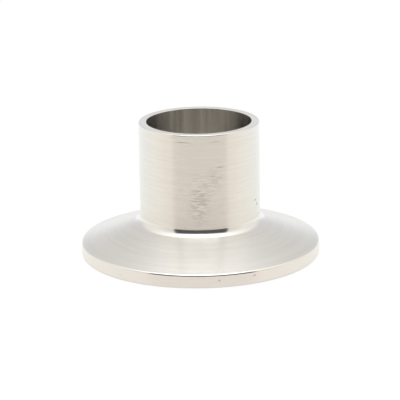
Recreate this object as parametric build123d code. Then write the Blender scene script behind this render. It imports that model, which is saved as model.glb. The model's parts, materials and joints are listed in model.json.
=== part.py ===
from build123d import *

import os
from math import radians, tan

# Sanitary clamp ferrule, long weld pattern, turned from one piece of stainless steel.
# Millimetres. The origin is the centre of the clamp face, and +Z runs along the tube
# to its weld end.

# Tube
tube_diameter = 25.4
wall = 1.65
length = 28.6  # clamp face to weld end

# Flange
flange_diameter = 50.5
rim_thickness = 2.85  # height of the rim where the cone meets it
cone_angle = 20.0  # slope of the back of the flange, which the clamp's jaws press on

# Gasket groove in the clamp face
groove_inset = 3.45  # from the outside of the rim to the middle of the groove
groove_depth = 1.6
groove_radius = 2.4  # of the groove's round section
groove_lip_radius = 0.4

# Rounded edges
root_radius = 2.0  # between the cone and the tube
rim_back_radius = 0.5  # between the rim and the cone
rim_face_radius = 0.5  # between the rim and the clamp face
weld_end_radius = 0.25  # outside edge of the weld end
bore_edge_radius = 0.1  # both ends of the bore

# Worked out from the sizes above
tube_radius = tube_diameter / 2
bore_radius = tube_radius - wall
flange_radius = flange_diameter / 2
groove_middle = flange_radius - groove_inset
cone_top = rim_thickness + (flange_radius - tube_radius) * tan(radians(cone_angle))


def body_section():
    """Half of the ferrule's section, from the bore outwards, before its edges are rounded."""
    outline = Polyline(
        (bore_radius, 0, 0),
        (flange_radius, 0, 0),
        (flange_radius, 0, rim_thickness),
        (tube_radius, 0, cone_top),
        (tube_radius, 0, length),
        (bore_radius, 0, length),
        close=True,
    )
    return make_face(outline)


def groove_section():
    """The round tool that cuts the gasket groove, at its full depth in the clamp face."""
    centre = (groove_middle, 0, groove_depth - groove_radius)
    return Plane(origin=centre, z_dir=(0, -1, 0)) * Circle(groove_radius)


def round_corner(section, radius, height, rounding):
    """Rounds the corner of a section that lies at this radius and height."""
    corner = section.vertices().sort_by_distance((radius, 0, height))[0]
    return fillet(corner, rounding)


def round_edges(section):
    """Rounds every turned edge of the section."""
    section = round_corner(section, tube_radius, cone_top, root_radius)
    section = round_corner(section, flange_radius, rim_thickness, rim_back_radius)
    section = round_corner(section, flange_radius, 0, rim_face_radius)
    section = round_corner(section, tube_radius, length, weld_end_radius)
    section = round_corner(section, bore_radius, length, bore_edge_radius)
    section = round_corner(section, bore_radius, 0, bore_edge_radius)
    lips = section.vertices().sort_by_distance((groove_middle, 0, 0))[:2]
    return fillet(lips, groove_lip_radius)


def ferrule():
    """The whole turned piece, one solid."""
    section = round_edges(body_section() - groove_section())
    return revolve(section, Axis.Z, 360)


os.makedirs("parts", exist_ok=True)
part = ferrule()
part.label = "ferrule"
export_step(part, "parts/ferrule.step")
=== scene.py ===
import json
import math

import bpy
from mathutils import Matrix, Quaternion, Vector


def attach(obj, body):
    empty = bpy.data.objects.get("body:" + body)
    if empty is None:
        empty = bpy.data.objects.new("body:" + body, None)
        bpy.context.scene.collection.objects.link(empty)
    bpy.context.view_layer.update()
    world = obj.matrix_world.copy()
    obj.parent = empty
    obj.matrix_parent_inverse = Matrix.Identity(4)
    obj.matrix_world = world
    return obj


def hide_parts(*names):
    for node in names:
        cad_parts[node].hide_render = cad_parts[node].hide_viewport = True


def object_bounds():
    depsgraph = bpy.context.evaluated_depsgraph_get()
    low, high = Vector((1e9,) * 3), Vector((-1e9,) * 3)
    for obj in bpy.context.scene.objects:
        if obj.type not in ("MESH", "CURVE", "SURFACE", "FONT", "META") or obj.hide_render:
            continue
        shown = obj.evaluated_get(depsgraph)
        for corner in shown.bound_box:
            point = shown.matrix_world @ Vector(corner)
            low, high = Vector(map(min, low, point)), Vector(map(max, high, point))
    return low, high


mm = 0.001  # sizes are written in millimetres and built in metres

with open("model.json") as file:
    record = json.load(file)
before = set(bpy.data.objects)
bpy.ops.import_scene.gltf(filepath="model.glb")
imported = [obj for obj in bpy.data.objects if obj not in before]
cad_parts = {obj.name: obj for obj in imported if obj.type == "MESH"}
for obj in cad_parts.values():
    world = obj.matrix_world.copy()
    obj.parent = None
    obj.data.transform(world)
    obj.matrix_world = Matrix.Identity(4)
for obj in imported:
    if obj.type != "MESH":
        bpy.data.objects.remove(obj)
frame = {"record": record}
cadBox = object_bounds()
mountSizes = {m["name"]: m["dims"] for m in frame["record"]["mounts"]}

ferruleSizes = {
    "tubeRadius": mountSizes["tube_end"]["r_mm"],
    "boreRadius": mountSizes["bore"]["r_mm"],
    "flangeRadius": mountSizes["clamp_rim"]["r_mm"],
    "length": cadBox[1].z / mm,
    "rimThickness": 2.85,
    "coneAngle": 20.0,
    "rootRadius": 2.0,  # between the cone and the tube
    "beltReach": 7.0,  # degrees of the root that the tube's polishing reaches
    "rimBackRadius": 0.5,
    "rimFaceRadius": 0.5,
    "weldEndRadius": 0.25,
    "boreEdgeRadius": 0.1,
    "grooveInset": 3.45,  # from the outside of the rim to the groove's middle
    "grooveDepth": 1.6,
    "grooveRadius": 2.4,
    "grooveLipRadius": 0.4,
    "stepsRound": 288,
    "steps": {  # along each stretch of the section
        "clampFace": 8,
        "grooveLip": 6,
        "groove": 24,
        "outerFace": 3,
        "rimEdge": 8,
        "rim": 5,
        "cone": 16,
        "root": 20,
        "belt": 2,
        "tube": 24,
        "weldEdge": 6,
        "weldEnd": 3,
        "boreEdge": 4,
        "bore": 28,
    },
}


# A pen walks round the section with the steel on its left. Each point keeps the way
# the surface faces there, and the finish of the strip that ends at it.
class SectionPen:
    def __init__(self, r, z):
        self.r, self.z, self.heading = r, z, 0.0
        self.points = [(r, z, 0.0, -1.0, None)]

    def mark(self, finish):
        a = math.radians(self.heading)
        self.points.append((self.r, self.z, math.sin(a), -math.cos(a), finish))

    def straight(self, distance, steps, finish):
        a = math.radians(self.heading)
        for _ in range(steps):
            self.r += distance / steps * math.cos(a)
            self.z += distance / steps * math.sin(a)
            self.mark(finish)

    # a positive turn goes round an outside edge, a negative one through a hollow
    def turn(self, radius, degrees, steps, finish):
        side = 90 if degrees > 0 else -90
        a = math.radians(self.heading + side)
        centreR = self.r + radius * math.cos(a)
        centreZ = self.z + radius * math.sin(a)
        for _ in range(steps):
            self.heading += degrees / steps
            a = math.radians(self.heading - side)
            self.r = centreR + radius * math.cos(a)
            self.z = centreZ + radius * math.sin(a)
            self.mark(finish)


def turnedSection(s):
    lipTurn = math.degrees(math.acos(
        (s["grooveLipRadius"] + s["grooveRadius"] - s["grooveDepth"])
        / (s["grooveRadius"] + s["grooveLipRadius"])
    ))
    lipReach = (s["grooveRadius"] + s["grooveLipRadius"]) * math.sin(math.radians(lipTurn))
    grooveMiddle = s["flangeRadius"] - s["grooveInset"]
    coneTurn = 90 - s["coneAngle"]
    coneShorter = math.tan(math.radians(coneTurn / 2))  # what a 1 mm radius takes off each side
    coneRun = (s["flangeRadius"] - s["tubeRadius"]) / math.cos(math.radians(s["coneAngle"]))
    coneTop = s["rimThickness"] + coneRun * math.sin(math.radians(s["coneAngle"]))
    tubeRun = s["length"] - s["weldEndRadius"] - coneTop - s["rootRadius"] * coneShorter

    steps = s["steps"]
    pen = SectionPen(s["boreRadius"] + s["boreEdgeRadius"], 0)
    pen.straight(grooveMiddle - lipReach - pen.r, steps["clampFace"], "clampFace")
    pen.turn(s["grooveLipRadius"], lipTurn, steps["grooveLip"], "clampFace")
    pen.turn(s["grooveRadius"], -2 * lipTurn, steps["groove"], "groove")
    pen.turn(s["grooveLipRadius"], lipTurn, steps["grooveLip"], "clampFace")
    pen.straight(s["flangeRadius"] - s["rimFaceRadius"] - pen.r, steps["outerFace"], "clampFace")
    pen.turn(s["rimFaceRadius"], 90, steps["rimEdge"], "rim")
    pen.straight(s["rimThickness"] - s["rimBackRadius"] * coneShorter - pen.z, steps["rim"], "rim")
    pen.turn(s["rimBackRadius"], coneTurn, steps["rimEdge"], "root")
    pen.straight(coneRun - (s["rimBackRadius"] + s["rootRadius"]) * coneShorter, steps["cone"], "cone")
    pen.turn(s["rootRadius"], s["beltReach"] - coneTurn, steps["root"], "root")
    pen.turn(s["rootRadius"], -s["beltReach"], steps["belt"], "tube")
    pen.straight(tubeRun, steps["tube"], "tube")
    pen.turn(s["weldEndRadius"], 90, steps["weldEdge"], "weldEnd")
    pen.straight(pen.r - s["boreRadius"] - s["boreEdgeRadius"], steps["weldEnd"], "weldEnd")
    pen.turn(s["boreEdgeRadius"], 90, steps["boreEdge"], "weldEnd")
    pen.straight(pen.z - s["boreEdgeRadius"], steps["bore"], "bore")
    pen.turn(s["boreEdgeRadius"], 90, steps["boreEdge"], "clampFace")
    return pen.points


def lathe(name, points, stepsRound, materials):
    slots = list(materials)
    rings = points[:-1]  # the last point is the first again
    verts, normals = [], []
    for r, z, outR, outZ, _ in rings:
        for i in range(stepsRound):
            a = 2 * math.pi * i / stepsRound + math.pi / 2
            verts.append((r * mm * math.cos(a), r * mm * math.sin(a), z * mm))
            normals.append((outR * math.cos(a), outR * math.sin(a), outZ))
    faces, finishes = [], []  # each strip has the finish of the point that it ends at
    for ring in range(len(rings)):
        after = (ring + 1) % len(rings)
        for i in range(stepsRound):
            j = (i + 1) % stepsRound
            faces.append((
                ring * stepsRound + i, ring * stepsRound + j,
                after * stepsRound + j, after * stepsRound + i,
            ))
            finishes.append(slots.index(points[ring + 1][4]))
    mesh = bpy.data.meshes.new(name)
    mesh.from_pydata(verts, [], faces)
    for material in materials.values():
        mesh.materials.append(material)
    mesh.polygons.foreach_set("material_index", finishes)
    mesh.polygons.foreach_set("use_smooth", [True] * len(faces))
    mesh.normals_split_custom_set_from_vertices(normals)
    mesh.update()
    piece = bpy.data.objects.new(name, mesh)
    bpy.context.scene.collection.objects.link(piece)
    return piece


# small helpers for wiring nodes
def addNode(tree, kind, **settings):
    node = tree.nodes.new(kind)
    for key, value in settings.items():
        setattr(node, key, value)
    return node


# a socket takes a link from another socket, or a plain value
def feed(tree, socket, value):
    if isinstance(value, bpy.types.NodeSocket):
        tree.links.new(value, socket)
    else:
        socket.default_value = value


def calculate(tree, operation, *values):
    node = addNode(tree, "ShaderNodeMath", operation=operation)
    for socket, value in zip(node.inputs, values):
        feed(tree, socket, value)
    return node.outputs[0]


# the long side of a right-angled triangle
def longSide(tree, a, b):
    squares = [calculate(tree, "MULTIPLY", side, side) for side in (a, b)]
    return calculate(tree, "SQRT", calculate(tree, "ADD", *squares))


def mixColour(tree, share, first, second):
    node = addNode(tree, "ShaderNodeMix", data_type="RGBA")
    feed(tree, node.inputs["Factor"], share)
    feed(tree, node.inputs[6], first)  # the sockets for colours come after those for numbers
    feed(tree, node.inputs[7], second)
    return node.outputs[2]


def smoothShare(tree, value, start, end):
    share = addNode(tree, "ShaderNodeMapRange", interpolation_type="SMOOTHSTEP")
    share.inputs["From Min"].default_value = start
    share.inputs["From Max"].default_value = end
    tree.links.new(value, share.inputs["Value"])
    return share.outputs[0]


def newGroup(name, inputs, outputs):
    group = bpy.data.node_groups.new(name, "ShaderNodeTree")
    for socket, default in inputs.items():
        made = group.interface.new_socket(socket, in_out="INPUT", socket_type="NodeSocketFloat")
        made.default_value = default
    for socket in outputs:
        group.interface.new_socket(socket, in_out="OUTPUT", socket_type="NodeSocketFloat")
    return group, group.nodes.new("NodeGroupInput"), group.nodes.new("NodeGroupOutput")


def placeGroup(tree, group, values):
    node = addNode(tree, "ShaderNodeGroup", node_tree=group)
    for socket, value in values.items():
        feed(tree, node.inputs[socket], value)
    return node


turningSetup = {
    "circle": 20.0,  # radius of the circle that a mark's length is measured on
    "raggedness": 0.6,  # of a mark's edge
}


# Marks that a lathe tool or a polishing belt leaves: long round the axis, thin across it.
# Run and Pitch are their length and width in millimetres.
def turningMarksGroup(t):
    group, given, made = newGroup(
        "turningMarks", {"Run": 6.0, "Pitch": 0.25, "Detail": 3.0, "Place": 0.0}, ["Marks"]
    )
    place = addNode(group, "ShaderNodeTexCoord")
    split = addNode(group, "ShaderNodeSeparateXYZ")
    group.links.new(place.outputs["Object"], split.inputs[0])
    flat = addNode(group, "ShaderNodeCombineXYZ")
    group.links.new(split.outputs["X"], flat.inputs["X"])
    group.links.new(split.outputs["Y"], flat.inputs["Y"])
    radius = addNode(group, "ShaderNodeVectorMath", operation="LENGTH")
    group.links.new(flat.outputs[0], radius.inputs[0])
    around = addNode(group, "ShaderNodeVectorMath", operation="NORMALIZE")
    group.links.new(flat.outputs[0], around.inputs[0])
    # the distance round the circle, and the way down the outside
    stretch = calculate(group, "DIVIDE", t["circle"], given.outputs["Run"])
    spread = addNode(group, "ShaderNodeVectorMath", operation="SCALE")
    group.links.new(around.outputs[0], spread.inputs[0])
    group.links.new(stretch, spread.inputs["Scale"])
    down = calculate(group, "SUBTRACT", split.outputs["Z"], radius.outputs["Value"])
    across = calculate(group, "DIVIDE", calculate(group, "DIVIDE", down, mm), given.outputs["Pitch"])
    lift = addNode(group, "ShaderNodeCombineXYZ")
    group.links.new(calculate(group, "ADD", across, given.outputs["Place"]), lift.inputs["Z"])
    where = addNode(group, "ShaderNodeVectorMath", operation="ADD")
    group.links.new(spread.outputs[0], where.inputs[0])
    group.links.new(lift.outputs[0], where.inputs[1])
    noise = addNode(group, "ShaderNodeTexNoise")
    noise.inputs["Scale"].default_value = 1.0
    noise.inputs["Roughness"].default_value = t["raggedness"]
    group.links.new(where.outputs[0], noise.inputs["Vector"])
    group.links.new(given.outputs["Detail"], noise.inputs["Detail"])
    group.links.new(noise.outputs[0], made.inputs["Marks"])
    return group


# where a mark begins to show and where it is full, as shares of its half sizes
markSetup = {"outside": 1.3, "inside": 0.2}


# A single mark or patch on the outside, soft at its edge. Azimuth is in degrees from the
# front, to the right, and the rest is in millimetres.
def singleMarkGroup(m):
    group, given, made = newGroup(
        "singleMark", {"Azimuth": 0.0, "Height": 10.0, "Half Length": 1.0, "Half Width": 0.1}, ["Mask"]
    )
    place = addNode(group, "ShaderNodeTexCoord")
    split = addNode(group, "ShaderNodeSeparateXYZ")
    group.links.new(place.outputs["Object"], split.inputs[0])
    x, y, z = (calculate(group, "DIVIDE", socket, mm) for socket in split.outputs)
    around = calculate(group, "ARCTAN2", x, calculate(group, "MULTIPLY", y, -1.0))
    turned = calculate(group, "SUBTRACT", around, calculate(group, "RADIANS", given.outputs["Azimuth"]))
    beside = calculate(group, "MULTIPLY", turned, longSide(group, x, y))
    above = calculate(group, "SUBTRACT", z, given.outputs["Height"])
    along = calculate(group, "DIVIDE", beside, given.outputs["Half Length"])
    across = calculate(group, "DIVIDE", above, given.outputs["Half Width"])
    away = longSide(group, along, across)
    group.links.new(smoothShare(group, away, m["outside"], m["inside"]), made.inputs["Mask"])
    return group


# Stretch draws the shine out across the marks. Run and pitch are how long and how wide the
# marks are, in millimetres, and steep is how far they tilt the surface.
steelFinishes = {
    "tube": {"roughness": 0.25, "stretch": 0.93, "steep": 0.03, "run": 4.0, "pitch": 0.55},
    "root": {"roughness": 0.15, "stretch": 0.4, "steep": 0.003, "run": 40.0, "pitch": 0.40},
    "cone": {"roughness": 0.25, "stretch": 0.8, "steep": 0.012, "run": 60.0, "pitch": 0.70},
    "rim": {"roughness": 0.25, "stretch": 0.85, "steep": 0.02, "run": 9.0, "pitch": 0.50},
    "weldEnd": {"roughness": 0.24, "stretch": 0.7, "steep": 0.02, "run": 30.0, "pitch": 0.30},
    "bore": {"roughness": 0.218, "stretch": 0.85, "steep": 0.01, "run": 3.0, "pitch": 120.0},
    "clampFace": {"roughness": 0.24, "stretch": 0.7, "steep": 0.03, "run": 80.0, "pitch": 0.44},
    "groove": {"roughness": 0.26, "stretch": 0.6, "steep": 0.03, "run": 80.0, "pitch": 0.36},
}
steelColour = (0.83, 0.81, 0.77, 1)
# the dark colour of scuffs and streaks, also used for the painted shade and painted reflection stripes
scuffAndShadeColour = (0.30, 0.26, 0.22, 1)

# the finer marks among those, as parts of their size
fineMarks = {
    "shorter": 2,
    "thinner": 4,
    "shallower": 6,
    "place": 40.0,  # keeps them clear of the coarse ones' pattern
    "roughnessSpread": 0.08,  # from the smoothest spot to the roughest
}

# which part of the marks darkens into streaks, and where in the pattern they are taken from
streakSetup = {"detail": 2.0, "place": 80.0, "start": 0.38, "full": 0.60}

# fine dark streaks, with run and pitch as above and how dark they are. The bore's are dark stripes up and
# down it: painted reflection of the light tent in its far wall, not marks in the steel
streaksAndPaintedStripes = {
    "tube": {"run": 12.0, "pitch": 0.50, "share": 0.04},
    "cone": {"run": 24.0, "pitch": 0.80, "share": 0.05},
    "bore": {"run": 4.0, "pitch": 300.0, "share": 0.28},
}

# where the belt bit harder and left short streaks: azimuth, height, half length, half width and how dark
# they are. The widest patch on the tube is painted shade, the darker reflection low on its front, and the
# cone's is painted shade just below the root
patchStreaks = {"run": 2.8, "pitch": 0.36}
heavyPatchesAndPaintedShade = {
    "tube": [(0, 14.2, 2.4, 5.2, 0.28), (13, 19.0, 2.2, 3.0, 0.14), (0, 16.0, 9.0, 9.0, 0.06)],
    "cone": [(0, 8.2, 3.0, 1.2, 0.10)],
}

# single scratches and specks: azimuth, height, half length, half width and how dark
scuffs = {
    "tube": [(-15.5, 27.05, 1.9, 0.11, 0.55), (-25, 27.9, 0.9, 0.10, 0.3), (14, 27.15, 1.3, 0.10, 0.35),
             (19.5, 21.7, 0.9, 0.12, 0.55), (12, 19.9, 0.5, 0.14, 0.4), (19, 19.4, 0.6, 0.10, 0.35),
             (-4, 19.6, 0.6, 0.10, 0.3), (65.5, 12.7, 0.40, 0.24, 0.8), (70, 11.6, 0.45, 0.32, 0.8)],
    "rim": [(25.4, 1.95, 0.35, 0.18, 0.6), (8.4, 1.65, 0.30, 0.22, 0.5), (-40, 1.3, 0.5, 0.08, 0.25)],
}


def streakAndPaintedStripeLines(tree, turningMarks, size):
    lines = placeGroup(tree, turningMarks, {
        "Run": size["run"],
        "Pitch": size["pitch"],
        "Detail": streakSetup["detail"],
        "Place": streakSetup["place"],
    })
    return smoothShare(tree, lines.outputs["Marks"], streakSetup["start"], streakSetup["full"])


# how much of a mark or patch shows at each place
def markShare(tree, singleMark, azimuth, height, halfLength, halfWidth, dark):
    mark = placeGroup(tree, singleMark, {
        "Azimuth": azimuth,
        "Height": height,
        "Half Length": halfLength,
        "Half Width": halfWidth,
    })
    return calculate(tree, "MULTIPLY", mark.outputs["Mask"], dark)


# the colour of one finish with its streaks, scuffs, painted shade and painted reflection stripes, or the
# plain steel where it has none
def markedAndShadedColour(tree, name, turningMarks, singleMark):
    colour = steelColour
    if name in streaksAndPaintedStripes:
        # in the bore these lines are painted reflection stripes
        lines = streakAndPaintedStripeLines(tree, turningMarks, streaksAndPaintedStripes[name])
        amount = calculate(tree, "MULTIPLY", lines, streaksAndPaintedStripes[name]["share"])
        if name in heavyPatchesAndPaintedShade:
            lines = streakAndPaintedStripeLines(tree, turningMarks, patchStreaks)
        # patches of darker streaks, partly painted shade
        for patch in heavyPatchesAndPaintedShade.get(name, []):
            amount = calculate(tree, "MULTIPLY_ADD", lines, markShare(tree, singleMark, *patch), amount)
        colour = mixColour(tree, amount, colour, scuffAndShadeColour)
    for scuff in scuffs.get(name, []):
        colour = mixColour(tree, markShare(tree, singleMark, *scuff), colour, scuffAndShadeColour)
    return colour


def steelMaterial(name, finish, turningMarks, singleMark):
    material = bpy.data.materials.new(name)
    material.use_nodes = True
    tree = material.node_tree
    shader = tree.nodes["Principled BSDF"]
    shader.inputs["Metallic"].default_value = 1.0
    shader.inputs["Anisotropic"].default_value = finish["stretch"]
    shader.inputs["Anisotropic Rotation"].default_value = 0.25  # marks run round the axis
    shader.inputs["Base Color"].default_value = steelColour
    colour = markedAndShadedColour(tree, name, turningMarks, singleMark)
    if colour is not steelColour:
        tree.links.new(colour, shader.inputs["Base Color"])

    coarse = placeGroup(tree, turningMarks, {"Run": finish["run"], "Pitch": finish["pitch"]})
    fine = placeGroup(tree, turningMarks, {
        "Run": finish["run"] / fineMarks["shorter"],
        "Pitch": finish["pitch"] / fineMarks["thinner"],
        "Place": fineMarks["place"],
    })
    depth = finish["steep"] * min(finish["run"], finish["pitch"])
    ridges = calculate(tree, "MULTIPLY", coarse.outputs["Marks"], depth)
    fineRidges = calculate(tree, "MULTIPLY", fine.outputs["Marks"], depth / fineMarks["shallower"])
    bump = addNode(tree, "ShaderNodeBump")
    bump.inputs["Distance"].default_value = mm
    tree.links.new(calculate(tree, "ADD", ridges, fineRidges), bump.inputs["Height"])
    tree.links.new(bump.outputs[0], shader.inputs["Normal"])

    spread = fineMarks["roughnessSpread"]
    smoothest = finish["roughness"] - spread / 2
    rough = calculate(tree, "MULTIPLY_ADD", fine.outputs["Marks"], spread, smoothest)
    tree.links.new(rough, shader.inputs["Roughness"])
    return material


turningMarks = turningMarksGroup(turningSetup)
singleMark = singleMarkGroup(markSetup)
steels = {}
for name, finish in steelFinishes.items():
    steels[name] = steelMaterial(name, finish, turningMarks, singleMark)
print("steel finishes:", len(steels))

ferrule = lathe("turnedFerrule", turnedSection(ferruleSizes), ferruleSizes["stepsRound"], steels)
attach(ferrule, "root")
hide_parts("ferrule")
print("turned ferrule:", len(ferrule.data.polygons), "faces")


# Light tent: pale walls under a bright roof, with an open side towards the camera, where the
# room beyond is dark. Each wall stands at an angle from the front, and gives its brightness
# and warmth at some angles above the table.
tent = {
    "turn": 1.5,  # degrees that the opening is turned to the right
    "openingEdge": 51.5,  # degrees to either side of its middle
    "openingSoftness": 3.0,
    "openingSpread": 10.0,  # how much wider it gets towards its top
    "brightest": 2.3,  # the strength that every colour is a share of
    "warmRed": 0.35,  # what a warmth of 1 adds to red
    "warmBlue": 0.65,  # and takes from blue
    "roof": [(75, 1.9, 0.0), (90, 2.3, 0.0)],
    "front": [(-2, 0.90, 0.14), (0, 0.09, 0.04), (38, 0.09, 0.04), (44, 0.30, 0.02), (51, 1.20, -0.01),
              (57, 1.95, -0.01), (66, 2.05, -0.01)],
    "walls": [
        (62, [(-2, 0.90, 0.12), (0, 0.80, 0.10), (25, 0.83, 0.09), (35, 0.92, 0.08), (45, 1.02, 0.05),
              (54, 1.32, 0.04), (63, 1.5, 0.0)]),
        (90, [(-2, 0.94, 0.09), (20, 0.94, 0.08), (35, 1.0, 0.07), (46, 1.10, 0.04), (56, 1.24, -0.02)]),
        (120, [(-2, 0.94, 0.05), (20, 0.93, 0.05), (35, 0.96, 0.05), (48, 1.08, 0.03), (60, 1.22, -0.05)]),
        (148, [(-2, 0.92, -0.02), (5, 0.86, -0.03), (14, 0.75, -0.02), (30, 0.74, 0.02), (42, 0.78, 0.05),
               (50, 0.87, 0.02), (61, 1.06, 0.0)]),
        (175, [(-2, 1.07, -0.05), (3, 1.01, -0.05), (10, 0.90, -0.04), (17, 0.77, -0.02), (32, 0.72, 0.0),
               (44, 0.73, 0.04), (52, 0.91, 0.0), (61, 1.12, -0.02)]),
    ],
}


def tinted(t, level, warmth):
    colour = (1 + t["warmRed"] * warmth, 1, 1 - t["warmBlue"] * warmth)
    return [c * level / t["brightest"] for c in colour] + [1]


# a colour ramp whose stops are (value, colour)
def colourRamp(tree, value, lowest, highest, colours):
    share = addNode(tree, "ShaderNodeMapRange")
    share.inputs["From Min"].default_value = lowest
    share.inputs["From Max"].default_value = highest
    tree.links.new(value, share.inputs["Value"])
    ramp = addNode(tree, "ShaderNodeValToRGB")
    tree.links.new(share.outputs[0], ramp.inputs["Fac"])
    stops = ramp.color_ramp.elements
    while len(stops) < len(colours):
        stops.new(0.5)  # anywhere, as each is moved below
    for stop, (at, colour) in zip(stops, colours):
        stop.position = (at - lowest) / (highest - lowest)
        stop.color = colour
    return ramp.outputs["Color"]


# degrees round from the front, the same to either side
def degreesFromFront(tree, x, y):
    aside = calculate(tree, "ABSOLUTE", x)
    ahead = calculate(tree, "MULTIPLY", y, -1.0)
    around = calculate(tree, "ARCTAN2", aside, ahead)
    return calculate(tree, "MULTIPLY", around, 180 / math.pi)


def buildTent(t):
    world = bpy.data.worlds.new("lightTent")
    bpy.context.scene.world = world
    world.use_nodes = True
    tree = world.node_tree
    background = tree.nodes["Background"]
    place = addNode(tree, "ShaderNodeTexCoord")
    turned = addNode(tree, "ShaderNodeVectorRotate", rotation_type="Z_AXIS")
    turned.inputs["Angle"].default_value = -math.radians(t["turn"])
    tree.links.new(place.outputs["Generated"], turned.inputs["Vector"])
    split = addNode(tree, "ShaderNodeSeparateXYZ")
    tree.links.new(turned.outputs[0], split.inputs[0])
    x, y, z = split.outputs
    rise = calculate(tree, "MULTIPLY", calculate(tree, "ARCSINE", z), 180 / math.pi)
    fromFront = degreesFromFront(tree, x, y)

    def wallColour(levels):
        return colourRamp(tree, rise, -90, 90, [
            (angle, tinted(t, level, warmth)) for angle, level, warmth in levels + t["roof"]
        ])

    angle, levels = t["walls"][0]
    walls = wallColour(levels)
    for nextAngle, levels in t["walls"][1:]:
        share = smoothShare(tree, fromFront, angle, nextAngle)
        walls = mixColour(tree, share, walls, wallColour(levels))
        angle = nextAngle
    spread = calculate(tree, "MULTIPLY", calculate(tree, "MULTIPLY", z, z), t["openingSpread"])
    narrowed = calculate(tree, "SUBTRACT", fromFront, spread)
    halfSoft = t["openingSoftness"] / 2
    beside = smoothShare(tree, narrowed, t["openingEdge"] - halfSoft, t["openingEdge"] + halfSoft)
    walls = mixColour(tree, beside, wallColour(t["front"]), walls)

    path = addNode(tree, "ShaderNodeLightPath")
    white = [1 / t["brightest"]] * 3 + [1]
    glossy, through = path.outputs["Is Glossy Ray"], path.outputs["Is Transmission Ray"]
    mirrored = calculate(tree, "MAXIMUM", glossy, through)
    lit = mixColour(tree, mirrored, white, walls)  # metal and glass show the walls, the rest plain white
    seen = mixColour(tree, path.outputs["Is Camera Ray"], lit, white)
    tree.links.new(seen, background.inputs["Color"])
    background.inputs["Strength"].default_value = t["brightest"]


buildTent(tent)
print("light tent:", len(tent["walls"]), "wall angles and the open side")

floorSetup = {
    "size": 3000.0,
    "below": 0.02,
    "colour": (0.95, 0.95, 0.95, 1),
    "shadow": 0.08,  # share of it that is lit and shaded as a plain surface
    "brightest": 1.15,  # the strength that the colours below are shares of
    # painted light and shade in the glow that metal shows of it, from the dim, warmer side in front of the
    # part to the bright one behind
    "inMetal": [(-110, (0.96, 0.91, 0.84)), (-75, (0.98, 0.91, 0.82)), (-50, (1.0, 0.925, 0.83)),
                (-28, (1.025, 0.955, 0.90)), (-12, (1.03, 1.0, 0.945)), (10, (1.02, 1.015, 0.955)),
                (30, (1.01, 1.015, 0.97)), (60, (1.005, 1.03, 1.05)), (140, (1.08, 1.10, 1.115))],
    "white": 1.02,  # how the camera sees it, so that it stays white beside a faint shadow
    "beneath": 0.62,  # painted shadow: share of its glow that the metal sees beneath the part
    "contact": 1.3,  # how far outside the flange the painted shadow still tells
}


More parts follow.
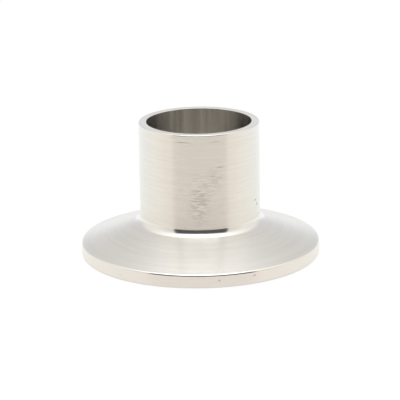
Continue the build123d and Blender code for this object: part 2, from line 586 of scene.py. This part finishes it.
def buildFloor(f):
    half = f["size"] / 2 * mm
    top = cadBox[0].z - f["below"] * mm
    mesh = bpy.data.meshes.new("floor")
    corners = [(-half, -half), (half, -half), (half, half), (-half, half)]
    mesh.from_pydata([(x, y, top) for x, y in corners], [], [(0, 1, 2, 3)])
    floor = bpy.data.objects.new("floor", mesh)
    bpy.context.scene.collection.objects.link(floor)
    material = bpy.data.materials.new("paleFloor")
    material.use_nodes = True
    tree = material.node_tree
    tree.nodes.remove(tree.nodes["Principled BSDF"])
    diffuse = addNode(tree, "ShaderNodeBsdfDiffuse")
    diffuse.inputs["Color"].default_value = f["colour"]
    place = addNode(tree, "ShaderNodeTexCoord")
    split = addNode(tree, "ShaderNodeSeparateXYZ")
    tree.links.new(place.outputs["Object"], split.inputs[0])
    # painted light and shade in the glow that metal sees, by how far in front of or behind the part
    nearest, furthest = f["inMetal"][0][0], f["inMetal"][-1][0]
    back = calculate(tree, "DIVIDE", split.outputs["Y"], mm)
    tint = colourRamp(tree, back, nearest, furthest, [
        (at, [c / f["brightest"] for c in colour] + [1]) for at, colour in f["inMetal"]
    ])
    path = addNode(tree, "ShaderNodeLightPath")
    white = [f["white"] / f["brightest"]] * 3 + [1]
    tint = mixColour(tree, path.outputs["Is Camera Ray"], tint, white)
    glow = addNode(tree, "ShaderNodeEmission")
    tree.links.new(tint, glow.inputs["Color"])
    glow.inputs["Strength"].default_value = f["brightest"]
    # painted shadow in the glow that metal sees, under the part and just round the flange
    fromAxis = addNode(tree, "ShaderNodeVectorMath", operation="LENGTH")
    tree.links.new(place.outputs["Object"], fromAxis.inputs[0])
    flange = ferruleSizes["flangeRadius"]
    clear = smoothShare(tree, fromAxis.outputs["Value"], flange * mm, (flange + f["contact"]) * mm)
    glowLeftByPaintedShadow = calculate(tree, "MULTIPLY_ADD", clear, 1 - f["beneath"], f["beneath"])
    glossy, through = path.outputs["Is Glossy Ray"], path.outputs["Is Transmission Ray"]
    mirrored = calculate(tree, "MULTIPLY", calculate(tree, "MAXIMUM", glossy, through), glowLeftByPaintedShadow)
    seen = calculate(tree, "MAXIMUM", mirrored, path.outputs["Is Camera Ray"])
    share = calculate(tree, "MULTIPLY", seen, 1 - f["shadow"])
    floorMix = addNode(tree, "ShaderNodeMixShader")
    tree.links.new(share, floorMix.inputs[0])
    tree.links.new(diffuse.outputs[0], floorMix.inputs[1])
    tree.links.new(glow.outputs[0], floorMix.inputs[2])
    tree.links.new(floorMix.outputs[0], tree.nodes["Material Output"].inputs["Surface"])
    mesh.materials.append(material)


buildFloor(floorSetup)
print("floor:", floorSetup["size"], "mm across")

cameraSetup = {
    "height": 12.0,  # the point on the axis that it circles
    "elevation": 16.26,
    "distance": 411.5,
    "lens": 174.83,
    "aimRight": 0.015,  # where its middle looks, beside and below that point
    "aimDown": 0.715,
    "tilt": 0.8,  # degrees out of level
    "clip": (10, 10000),  # how near and how far it sees
}


def buildCamera(c):
    e = math.radians(c["elevation"])
    back = Vector((0, -math.cos(e), math.sin(e)))
    up = Vector((0, math.sin(e), math.cos(e)))
    pivot = Vector((0, 0, c["height"] * mm))
    camera = bpy.data.objects.new("camera", bpy.data.cameras.new("camera"))
    bpy.context.scene.collection.objects.link(camera)
    camera.location = pivot + back * c["distance"] * mm
    aim = pivot + Vector((c["aimRight"] * mm, 0, 0)) - up * c["aimDown"] * mm
    look = (aim - camera.location).to_track_quat("-Z", "Y")
    camera.rotation_mode = "QUATERNION"
    camera.rotation_quaternion = look @ Quaternion((0, 0, 1), math.radians(-c["tilt"]))
    camera.data.lens = c["lens"]
    camera.data.clip_start, camera.data.clip_end = (reach * mm for reach in c["clip"])
    bpy.context.scene.camera = camera


buildCamera(cameraSetup)
bpy.context.scene.view_settings.view_transform = "Standard"
print("camera:", cameraSetup["distance"], "mm away")
